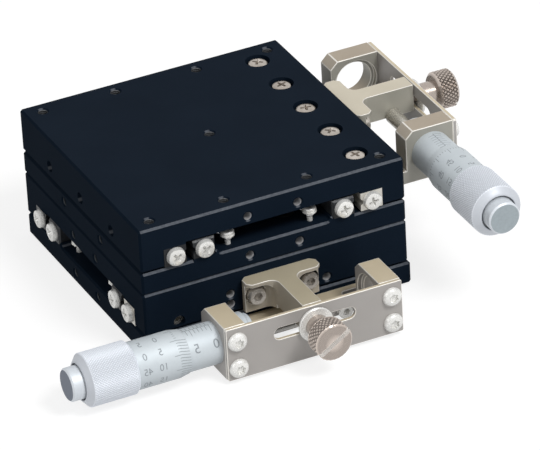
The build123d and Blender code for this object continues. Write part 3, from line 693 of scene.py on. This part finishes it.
def cut_slot(piece, matrix, size):
    """Cuts a box of that size, centred on matrix, out of a piece."""
    box = bmesh.new()
    bmesh.ops.create_cube(box, size=1.0, matrix=matrix @ Matrix.Diagonal((*size, 1.0)))
    mesh = bpy.data.meshes.new("slot_cutter")
    # The slot's walls take a paler metal, a painted highlight.
    mesh.materials.append(MATERIALS["painted_slot_sheen"])
    box.to_mesh(mesh)
    box.free()
    cutter = bpy.data.objects.new("slot_cutter", mesh)
    bpy.context.scene.collection.objects.link(cutter)
    modifier = piece.modifiers.new("slot", "BOOLEAN")
    modifier.operation = "DIFFERENCE"
    modifier.solver = "EXACT"
    modifier.material_mode = "TRANSFER"
    modifier.object = cutter
    result = final_mesh(piece)
    piece.modifiers.clear()
    piece.data = result
    bpy.data.objects.remove(cutter)


def make_knob(stage):
    """The lock knob: a shank, a smooth neck and a knurled head with a slot across its face."""
    box = local_box(stage, "lock_knob")
    head_r = (box.high.x - box.low.x) / 2
    front = KNOB_NECK + KNOB_HEAD
    shank_end = front - (box.high.y - box.low.y)
    edge_r = head_r - 0.1
    before = [(0.0, shank_end, SHANK_SHADE), (KNOB_SHANK_R, shank_end, SHANK_SHADE),
              (KNOB_SHANK_R, 0.0, SHANK_SHADE), (KNOB_NECK_R - 0.15, 0.0, NECK_SHADE),
              (KNOB_NECK_R, 0.15, NECK_SHADE), (KNOB_NECK_R, KNOB_NECK, NECK_SHADE),
              (head_r - 0.7, KNOB_NECK, 0.5), (edge_r, KNOB_NECK + KNOB_CHAMFER)]
    after = [(edge_r, front - KNOB_CHAMFER), (head_r - 0.6, front - 0.06, 0.5),
             (head_r - 0.8, front, FACE_SHADE), (2.5, front, FACE_SHADE), (0.0, front, FACE_SHADE)]
    points, faces, shades = knurled(before, head_r, KNOB_NECK + 0.6, KNOB_HEAD - 1.2, after,
                                    KNOB_COLUMNS, KNOB_GROOVE)
    matrix = axis_place(stage, box.middle.x, box.low.y + front, box.middle.z, (0, -1, 0))
    piece = new_piece(stage + "_knob_head", points, faces, matrix, "knob_knurl", 40.0)
    keep_shades(piece, shades)
    cut_slot(piece, matrix @ Matrix.Translation((0, 0, front)) @ spin(KNOB_SLOT_TURN), KNOB_SLOT)
    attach(piece, stage + "_knob_body")
    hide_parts(stage + "_lock_knob")


# Screws. A head is a fan of rings round its recess: the recess's outline is a distance from the
# middle for each angle, and the rings outside it run over into circles.

SCREW_SEGMENTS = 96
HEAD_RINGS = 7
RECESS_EDGE = 0.05
PAN_HEAD = {"head_d": 4.8, "head_h": 1.4, "shank_d": 2.5, "shank": 5.5}
TOP_HEAD = {"head_d": 5.2, "head_h": 2.1, "shank_d": 3.0, "shank": 6.2}
BUTTON_HEAD = {"head_d": 5.0, "head_h": 1.5, "shank_d": 2.5, "shank": 2.5}
CAP_HEAD = {"head_d": 4.5, "head_h": 2.5, "shank_d": 2.5, "shank": 6.3}


def cross_outline(half_length, half_width):
    def distance(angle):
        from_arm = (angle + math.pi / 4) % (math.pi / 2) - math.pi / 4
        along = half_length / math.cos(from_arm)
        across = half_width / max(1e-6, abs(math.sin(from_arm)))
        return min(along, across)
    return distance


def lobe_outline(radius, lobes):
    swing = 0.14
    return lambda angle: radius * (1 - swing + swing * math.cos(lobes * angle))


def hexagon_outline(half_across_flats):
    def distance(angle):
        from_flat = (angle + math.pi / 6) % (math.pi / 3) - math.pi / 6
        return half_across_flats / math.cos(from_flat)
    return distance


def screw(sizes, outline, power, depth_share, floor_share, rim=0.35):
    """A screw whose head stands on Z = 0, with its recess in the head and its shank below. A low
    power makes a dome and a high one a flat pan. The recess's depth is a share of the head's
    height and its floor a share of its outline, and rim is the height of the head's side."""
    head_r, head_h = sizes["head_d"] / 2, sizes["head_h"]
    shank_r, shank = sizes["shank_d"] / 2, sizes["shank"]
    depth = head_h * depth_share
    points = []

    def surface(radius):
        """Height of the head at a radius."""
        dome = head_h * (1 - min(1.0, radius / head_r) ** power) ** (1 / power)
        return rim + (head_h - rim) / head_h * dome

    def ring(radius_at, height_at):
        for i in range(SCREW_SEGMENTS):
            angle = math.tau * i / SCREW_SEGMENTS
            radius = radius_at(angle)
            points.append(polar(radius, angle, height_at(radius)))

    def circle(radius, height):
        ring(lambda angle: radius, lambda r: height)

    # The recess, from the pit in its floor to its soft edge
    floor = surface(0.0) - depth
    circle(0.0, floor - 0.25 * depth)
    ring(lambda angle: outline(angle) * floor_share, lambda r: floor)
    ring(lambda angle: outline(angle) - 0.03, lambda r: head_h - 0.18 * depth)
    ring(lambda angle: outline(angle) + RECESS_EDGE, surface)
    # The head's top, whose rings turn from the recess's outline into circles
    for step in range(1, HEAD_RINGS + 1):
        share = step / HEAD_RINGS
        round_r = head_r * math.sin(share * math.pi / 2) * share
        ring(lambda angle: (outline(angle) + RECESS_EDGE) * (1 - share) + round_r, surface)
    # The head's side and the shank
    circle(head_r, rim * 0.4)
    circle(head_r - 0.08, 0.0)
    circle(shank_r, 0.0)
    circle(shank_r, -shank)
    circle(0.0, -shank)
    return points, ring_faces(len(points) // SCREW_SEGMENTS, SCREW_SEGMENTS)


def phillips(sizes):
    head_r = sizes["head_d"] / 2
    cross = cross_outline(half_length=head_r * 0.56, half_width=head_r * 0.13)
    return screw(sizes, cross, power=4.5, depth_share=0.55, floor_share=0.62)


def button(sizes):
    star = lobe_outline(radius=sizes["head_d"] / 2 * 0.52, lobes=6)
    return screw(sizes, star, power=2.1, depth_share=0.55, floor_share=0.9, rim=0.25)


def socket(sizes):
    hexagon = hexagon_outline(half_across_flats=sizes["head_d"] / 2 * 0.46)
    return screw(sizes, hexagon, power=12.0, depth_share=0.5, floor_share=0.97, rim=1.9)


def screw_set(stage, node, shape, frames, body, look="bright_nickel"):
    """Copies of one screw at several frames, as one piece that stands for a CAD node."""
    points, faces = join_shapes([moved(shape, matrix) for matrix in frames])
    piece = new_piece(stage + "_" + node + "_detail", points, faces, Matrix.Identity(4), look, 32.0)
    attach(piece, body)
    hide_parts(stage + "_" + node)


# Where the screws stand, and how far each one happens to be turned, in degrees

END_SCREW_TURNS = {(-1, -1): 12, (-1, 1): 38, (1, -1): 55, (1, 1): 70}
TOP_SCREWS = 5
TOP_SCREW_EDGE = 8.0


def make_rail_end_screws(stage, node, body):
    box = local_box(stage, node)
    y = box.high.y - PAN_HEAD["head_d"] / 2
    frames = [axis_place(stage, sx * PLATE / 2, sy * y, box.middle.z, (sx, 0, 0)) @ spin(turn)
              for (sx, sy), turn in END_SCREW_TURNS.items()]
    screw_set(stage, node, phillips(PAN_HEAD), frames, body)


def make_top_screws(stage):
    box = local_box(stage, "outer_rail_top_screws")
    seat = box.high.z - TOP_HEAD["head_h"]
    pitch = (PLATE - 2 * TOP_SCREW_EDGE) / (TOP_SCREWS - 1)
    places = [-PLATE / 2 + TOP_SCREW_EDGE + i * pitch for i in range(TOP_SCREWS)]
    frames = [axis_place(stage, x, box.middle.y, seat, (0, 0, 1)) @ spin(17 + 31 * i)
              for i, x in enumerate(places)]
    screw_set(stage, "outer_rail_top_screws", phillips(TOP_HEAD), frames, STAGES[stage]["moving"],
              "top_screws")


def make_plate_screws(stage):
    box = local_box(stage, "lock_plate_screws")
    face = box.low.y + BUTTON_HEAD["head_h"]
    inset = BUTTON_HEAD["head_d"] / 2
    corners = [(x, z) for x in (box.low.x + inset, box.high.x - inset)
               for z in (box.low.z + inset, box.high.z - inset)]
    frames = [axis_place(stage, x, face, z, (0, -1, 0)) @ spin(10 + 9 * i)
              for i, (x, z) in enumerate(corners)]
    screw_set(stage, "lock_plate_screws", button(BUTTON_HEAD), frames, STAGES[stage]["fixed"])


def make_arm_screws(stage):
    box = local_box(stage, "drive_arm_screws")
    seat = box.low.y + CAP_HEAD["head_h"]
    inset = CAP_HEAD["head_d"] / 2
    frames = [axis_place(stage, x, seat, box.middle.z, (0, -1, 0)) @ spin(20)
              for x in (box.low.x + inset, box.high.x - inset)]
    screw_set(stage, "drive_arm_screws", socket(CAP_HEAD), frames, STAGES[stage]["moving"],
              "arm_screws")


# Tapped holes: a bare sleeve with the rounded grooves of a thread stands in each small hole. The
# places are those of the solids: on the top of the table, on its ends and beside the drive arm, and
# on the ends and the free side of the base.

THREAD_PITCH = 0.5
THREAD_STEPS = 4
THREAD_SEGMENTS = 28
THREAD_GAP = 0.03
THREAD_HEIGHT = 0.13
THREAD_START = 0.32
THREAD_DEPTH = 4.0
ARM_THREAD_DEPTH = 3.8
TOP_HOLE_R = 1.25
FACE_HOLE_R = 1.05
HOLE_END = 4.0
HOLE_SIDE = 4.5
HOLE_INNER = 11.0
FACE_HOLE_Y = 6.6
TABLE_HOLE_Z = 13.5
ARM_HOLES = ((-12.3, 11.2), (-12.3, 8.4), (13.2, 8.3))
BASE_HOLE_Z = 2.8
BASE_SIDE_HOLE = (10.6, 3.3)


def thread_sleeve(radius, depth):
    """Rings from just below the hole's mouth to its closed end, wider and narrower in turn."""
    profile = []
    for i in range(int(depth / THREAD_PITCH * THREAD_STEPS) + 1):
        wave = 0.5 - 0.5 * math.cos(math.tau * i / THREAD_STEPS)
        profile.append((radius - THREAD_GAP - THREAD_HEIGHT * wave,
                        -THREAD_START - i * THREAD_PITCH / THREAD_STEPS))
    profile.append((0.0, profile[-1][1]))
    return turned(profile, THREAD_SEGMENTS)


def threads_at(stage, places, towards, radius, depth=THREAD_DEPTH):
    """A sleeve at each of these local places, whose holes open along a local direction."""
    return [moved(thread_sleeve(radius, depth), axis_place(stage, *point, towards))
            for point in places]


def thread_set(stage, name, shapes, body):
    points, faces = join_shapes(shapes)
    piece = new_piece(stage + "_" + name, points, faces, Matrix.Identity(4), "bare_thread", 60.0)
    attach(piece, body)


def make_table_threads(stage):
    box = local_box(stage, "table")
    x, y, top = PLATE / 2 - HOLE_END, PLATE / 2 - HOLE_SIDE, box.high.z
    tops = [(sx * x, py, top) for sx in (-1, 1) for py in (-y, -HOLE_INNER, HOLE_INNER, y)]
    shapes = threads_at(stage, tops + [(0, 0, top)], (0, 0, 1), TOP_HOLE_R)
    for sx in (-1, 1):
        ends = [(sx * PLATE / 2, py, TABLE_HOLE_Z) for py in (-FACE_HOLE_Y, FACE_HOLE_Y)]
        shapes += threads_at(stage, ends, (sx, 0, 0), FACE_HOLE_R)
    beside_arm = [(px, box.low.y, pz) for px, pz in ARM_HOLES]
    shapes += threads_at(stage, beside_arm, (0, -1, 0), FACE_HOLE_R, ARM_THREAD_DEPTH)
    thread_set(stage, "table_threads", shapes, STAGES[stage]["moving"])


def make_base_threads(stage):
    box = local_box(stage, "base")
    shapes = []
    for edge, sx in ((box.low.x, -1), (box.high.x, 1)):
        ends = [(edge, py, BASE_HOLE_Z) for py in (-FACE_HOLE_Y, FACE_HOLE_Y)]
        shapes += threads_at(stage, ends, (sx, 0, 0), FACE_HOLE_R)
    side_x, side_z = BASE_SIDE_HOLE
    sides = [(sx * side_x, box.high.y, side_z) for sx in (-1, 1)]
    shapes += threads_at(stage, sides, (0, 1, 0), FACE_HOLE_R)
    thread_set(stage, "base_threads", shapes, STAGES[stage]["fixed"])


# Tension springs: open coils between two posts, with a hook round each post.

WIRE_R = 0.25
WIRE_SIDES = 6
COIL_R = 1.1
COIL_PITCH = 0.64
COIL_STEPS = 14
EYE_R = 1.2
HOOK_R = 1.05
HOOK_START = 205
HOOK_SWEEP = 230
HOOK_STEPS = 18
SPRING_LEAD = 3.8


def tube(path, radius, sides):
    """A tube round a path of points."""
    points = []
    side = Vector((0, 0, 1))
    last = len(path) - 1
    for i, point in enumerate(path):
        ahead = (path[min(i + 1, last)] - path[max(i - 1, 0)]).normalized()
        side = (side - ahead * side.dot(ahead)).normalized()
        other = ahead.cross(side)
        for k in range(sides):
            angle = math.tau * k / sides
            points.append(point + (side * math.cos(angle) + other * math.sin(angle)) * radius)
    faces = ring_faces(len(path), sides)
    faces += [tuple(range(sides)), tuple(len(points) - 1 - k for k in range(sides))]
    return points, faces


def hook(post, away, y, z):
    """Most of a circle round a post, from its open side to the side that meets the coils."""
    angles = [math.radians(HOOK_START - HOOK_SWEEP * i / HOOK_STEPS) for i in range(HOOK_STEPS + 1)]
    return [Vector((post - away * HOOK_R * math.cos(angle), y + HOOK_R * math.sin(angle), z))
            for angle in angles]


def spring_path(left, right, y, z):
    """From the hook round the left post, through the coils, to the hook round the right post."""
    start, end = left + SPRING_LEAD, right - SPRING_LEAD
    steps = round((end - start) / COIL_PITCH) * COIL_STEPS
    coil = []
    for i in range(steps + 1):
        angle = math.tau * i / COIL_STEPS
        coil.append(Vector((start + (end - start) * i / steps, y + COIL_R * math.cos(angle),
                            z + COIL_R * math.sin(angle))))
    return hook(left, -1, y, z) + coil + hook(right, 1, y, z)[::-1]


def make_springs(stage):
    """Both springs as one piece, which spans between the two plates."""
    box = local_box(stage, "tension_springs")
    eye = EYE_R + WIRE_R
    left, right = box.low.x + eye, box.high.x - eye
    y, z = box.high.y - eye, box.middle.z
    points, faces = join_shapes([tube(spring_path(left, right, sy * y, z), WIRE_R, WIRE_SIDES)
                                 for sy in (-1, 1)])
    piece = new_piece(stage + "_spring_coils", points, faces, place(stage), "spring_steel", 60.0)
    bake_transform(piece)
    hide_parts(stage + "_tension_springs")


# Engraved scales: flat marks and figures, laid on the cylinder about the micrometer's axis. On the
# flat sheet u runs along the axis, away from the table, and v runs round it.

MARK_LIFT = 0.012
LETTER_SIZE = 1.38
LONGEST_EDGE = 0.45
FIGURE_EVERY = 5

SLEEVE_R = 5.25
SCALE_ZERO = 24.6
SCALE_LINES = 13
INDEX_MIDDLE = 6.8
INDEX_LENGTH = 14.2
INDEX_WIDTH = 0.16
SCALE_WIDTH = 0.14
SCALE_LONG, SCALE_SHORT, SCALE_HALVES = 2.3, 1.7, 1.5
SCALE_FIGURE_H = 2.4
SCALE_FIGURE_V = 5.7

THIMBLE_EDGE_R = 5.45
THIMBLE_BEVEL = 2.4
THIMBLE_DIVISIONS = 50
READING = 3.8
DIVISION_START = 0.12
DIVISION_WIDTH = 0.15
DIVISION_LONG, DIVISION_SHORT = 4.2, 2.9
DIVISION_FIGURE_H = 1.8
DIVISION_FIGURE_SQUEEZE = 0.95
DIVISION_FIGURE_SHIFT = 2.6
DIVISION_FIGURE_ROWS = (7.3, 11.4)


def flat_bar(u, v, length, width, cuts=1):
    """A bar about (u, v), length along the axis and width round it, cut so that it can bend."""
    points, faces = [], []
    for i in range(cuts + 1):
        around = v - width / 2 + width * i / cuts
        points += [(u - length / 2, around), (u + length / 2, around)]
    for i in range(cuts):
        a = 2 * i
        faces.append((a, a + 1, a + 3, a + 2))
    return points, faces


def figure_shape(text, height):
    """The font's own outline of a number as flat triangles, centred, with that height."""
    curve = bpy.data.curves.new("figure", "FONT")
    curve.body = text
    curve.size = height * LETTER_SIZE
    curve.align_x = "CENTER"
    curve.align_y = "CENTER"
    curve.resolution_u = 3
    holder = bpy.data.objects.new("figure", curve)
    bpy.context.scene.collection.objects.link(holder)
    mesh = final_mesh(holder)
    shape = bmesh.new()
    shape.from_mesh(mesh)
    bmesh.ops.triangulate(shape, faces=shape.faces)
    for _ in range(2):
        long_edges = [e for e in shape.edges if e.calc_length() > LONGEST_EDGE]
        bmesh.ops.subdivide_edges(shape, edges=long_edges, cuts=1)
        bmesh.ops.triangulate(shape, faces=shape.faces)
    points = [(v.co.x, v.co.y) for v in shape.verts]
    shape.verts.index_update()
    faces = [tuple(v.index for v in f.verts) for f in shape.faces]
    shape.free()
    bpy.data.objects.remove(holder)
    bpy.data.curves.remove(curve)
    bpy.data.meshes.remove(mesh)
    return points, faces


def figure(text, height, u, v, squeeze=1.0):
    """A number whose baseline runs along the axis and whose feet point to larger v."""
    points, faces = figure_shape(text, height)
    return [(u + x * squeeze, v - y) for x, y in points], faces


def scale_piece(stage, name, shapes, radius_at, body):
    """Flat shapes laid on a cylinder about the spindle's axis; v is measured from its top to -Y."""
    axis = local_box(stage, "spindle").middle
    flat_points, faces = join_shapes(shapes)
    points = []
    for u, v in flat_points:
        radius = radius_at(u) + MARK_LIFT
        angle = v / radius_at(u)
        points.append((-u, -radius * math.sin(angle), radius * math.cos(angle)))
    matrix = place(stage) @ Matrix.Translation((0, axis.y, axis.z))
    piece = new_piece(stage + "_" + name, points, faces, matrix, "engraving")
    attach(piece, body)


def make_sleeve_marks(stage):
    """Whole millimetres on one side of the index line, halves on the other, and 0, 5 and 10."""
    shapes = [flat_bar(SCALE_ZERO + INDEX_MIDDLE, 0.0, INDEX_LENGTH, INDEX_WIDTH)]
    for i in range(SCALE_LINES + 1):
        length = SCALE_LONG if i % FIGURE_EVERY == 0 else SCALE_SHORT
        shapes.append(flat_bar(SCALE_ZERO + i, length / 2, SCALE_WIDTH, length, 4))
        if i < SCALE_LINES:
            shapes.append(flat_bar(SCALE_ZERO + i + 0.5, -SCALE_HALVES / 2, SCALE_WIDTH,
                                   SCALE_HALVES, 4))
    for i in range(0, SCALE_LINES, FIGURE_EVERY):
        shapes.append(figure(str(i), SCALE_FIGURE_H, SCALE_ZERO + i, SCALE_FIGURE_V))
    scale_piece(stage, "sleeve_scale", shapes, lambda u: SLEEVE_R, STAGES[stage]["fixed"])


def make_thimble_marks(stage):
    """Fifty divisions over the thimble's bevel, with two rows of figures that count both ways."""
    edge = -local_box(stage, "thimble").high.x
    division = math.tau * THIMBLE_R / THIMBLE_DIVISIONS
    shift = DIVISION_FIGURE_SHIFT * division

    def radius_at(u):
        share = min(1.0, max(0.0, (u - edge) / THIMBLE_BEVEL))
        return THIMBLE_EDGE_R + (THIMBLE_R - THIMBLE_EDGE_R) * share

    shapes = []
    for i in range(THIMBLE_DIVISIONS):
        v = division * (i + READING)
        has_figure = i % FIGURE_EVERY == 0
        length = DIVISION_LONG if has_figure else DIVISION_SHORT
        for start, end in ((DIVISION_START, THIMBLE_BEVEL), (THIMBLE_BEVEL, length)):
            shapes.append(flat_bar(edge + (start + end) / 2, v, end - start, DIVISION_WIDTH))
        if has_figure:
            back = (THIMBLE_DIVISIONS - i) % THIMBLE_DIVISIONS
            for number, row, side in zip((i, back), DIVISION_FIGURE_ROWS, (-1, 1)):
                shapes.append(figure(str(number), DIVISION_FIGURE_H, edge + row, v + side * shift,
                                     DIVISION_FIGURE_SQUEEZE))
    scale_piece(stage, "thimble_scale", shapes, radius_at, stage + "_thimble_body")


# Camera: fitted to the corners of the plates in the photograph, whose frame is 540 x 450.

CAMERA_AZIMUTH = math.radians(-24.196)
CAMERA_ELEVATION = math.radians(30.08)
CAMERA_ROLL = math.radians(-3.305)
CAMERA_DISTANCE = 1.3822
CAMERA_LENS = 377.95
CAMERA_OFFSET = (13.83 * MM, -7.18 * MM)
MIDDLE = Vector((0, 0, STAGE_H * MM))


def make_camera():
    back = Vector((math.sin(CAMERA_AZIMUTH) * math.cos(CAMERA_ELEVATION),
                   -math.cos(CAMERA_AZIMUTH) * math.cos(CAMERA_ELEVATION),
                   math.sin(CAMERA_ELEVATION)))
    level = Vector((0, 0, 1)).cross(back).normalized()
    upright = back.cross(level)
    c, s = math.cos(CAMERA_ROLL), math.sin(CAMERA_ROLL)
    right = level * c + upright * s
    up = upright * c - level * s
    aim = MIDDLE + right * CAMERA_OFFSET[0] + up * CAMERA_OFFSET[1]
    data = bpy.data.cameras.new("camera")
    data.sensor_width = 36.0
    data.lens = CAMERA_LENS
    data.clip_end = 20.0
    camera = bpy.data.objects.new("camera", data)
    turn = Matrix((right, up, back)).transposed().to_4x4()
    camera.matrix_world = Matrix.Translation(aim + back * CAMERA_DISTANCE) @ turn
    bpy.context.scene.collection.objects.link(camera)
    bpy.context.scene.camera = camera


# Studio: a pale floor just below the base, two round lamps and a white surround, in metres and watts

FLOOR_SIZE = 6.0
FLOOR_Z = -0.0002
LAMPS = {
    "key": {"position": (0.35, -0.85, 1.15), "size": 0.5, "power": 12.0},
    "fill": {"position": (-0.9, -0.5, 0.6), "size": 0.7, "power": 1.5},
}
SURROUND_LIGHT = 0.42


def make_lamp(name, position, size, power):
    data = bpy.data.lights.new(name, "AREA")
    data.shape = "DISK"
    data.size = size
    data.energy = power
    lamp = bpy.data.objects.new(name, data)
    lamp.location = position
    lamp.rotation_euler = (MIDDLE - Vector(position)).to_track_quat("-Z", "Y").to_euler()
    bpy.context.scene.collection.objects.link(lamp)


def make_studio():
    bpy.ops.mesh.primitive_plane_add(size=FLOOR_SIZE, location=(0, 0, FLOOR_Z))
    floor = bpy.context.object
    floor.name = "floor"
    floor.data.materials.append(floor_material())
    world = bpy.data.worlds.new("studio")
    bpy.context.scene.world = world
    world.use_nodes = True
    tree = world.node_tree
    seen = seen_by(tree, ("Is Camera Ray", "Is Glossy Ray", "Is Transmission Ray"))
    set_inputs(tree, tree.nodes["Background"], {"Color": with_alpha((1, 1, 1)),
                                                "Strength": by_mask(tree, seen, SURROUND_LIGHT, 1.0)})
    for name, lamp in LAMPS.items():
        make_lamp(name, **lamp)
    bpy.context.scene.view_settings.view_transform = "Standard"


def make_stage(stage):
    """Softens the edges of one stage's CAD pieces and makes the pieces that go over the others."""
    for node, (width, angle) in SOFT_EDGES.items():
        soften_edges(stage + "_" + node, width, angle)
    make_grip(stage)
    make_knob(stage)
    make_rail_end_screws(stage, "inner_rail_end_screws", STAGES[stage]["fixed"])
    make_rail_end_screws(stage, "outer_rail_end_screws", STAGES[stage]["moving"])
    make_top_screws(stage)
    make_plate_screws(stage)
    make_arm_screws(stage)
    make_table_threads(stage)
    make_base_threads(stage)
    make_springs(stage)
    make_sleeve_marks(stage)
    make_thimble_marks(stage)


dress_cad()
for stage_name in STAGES:
    make_stage(stage_name)
make_camera()
make_studio()
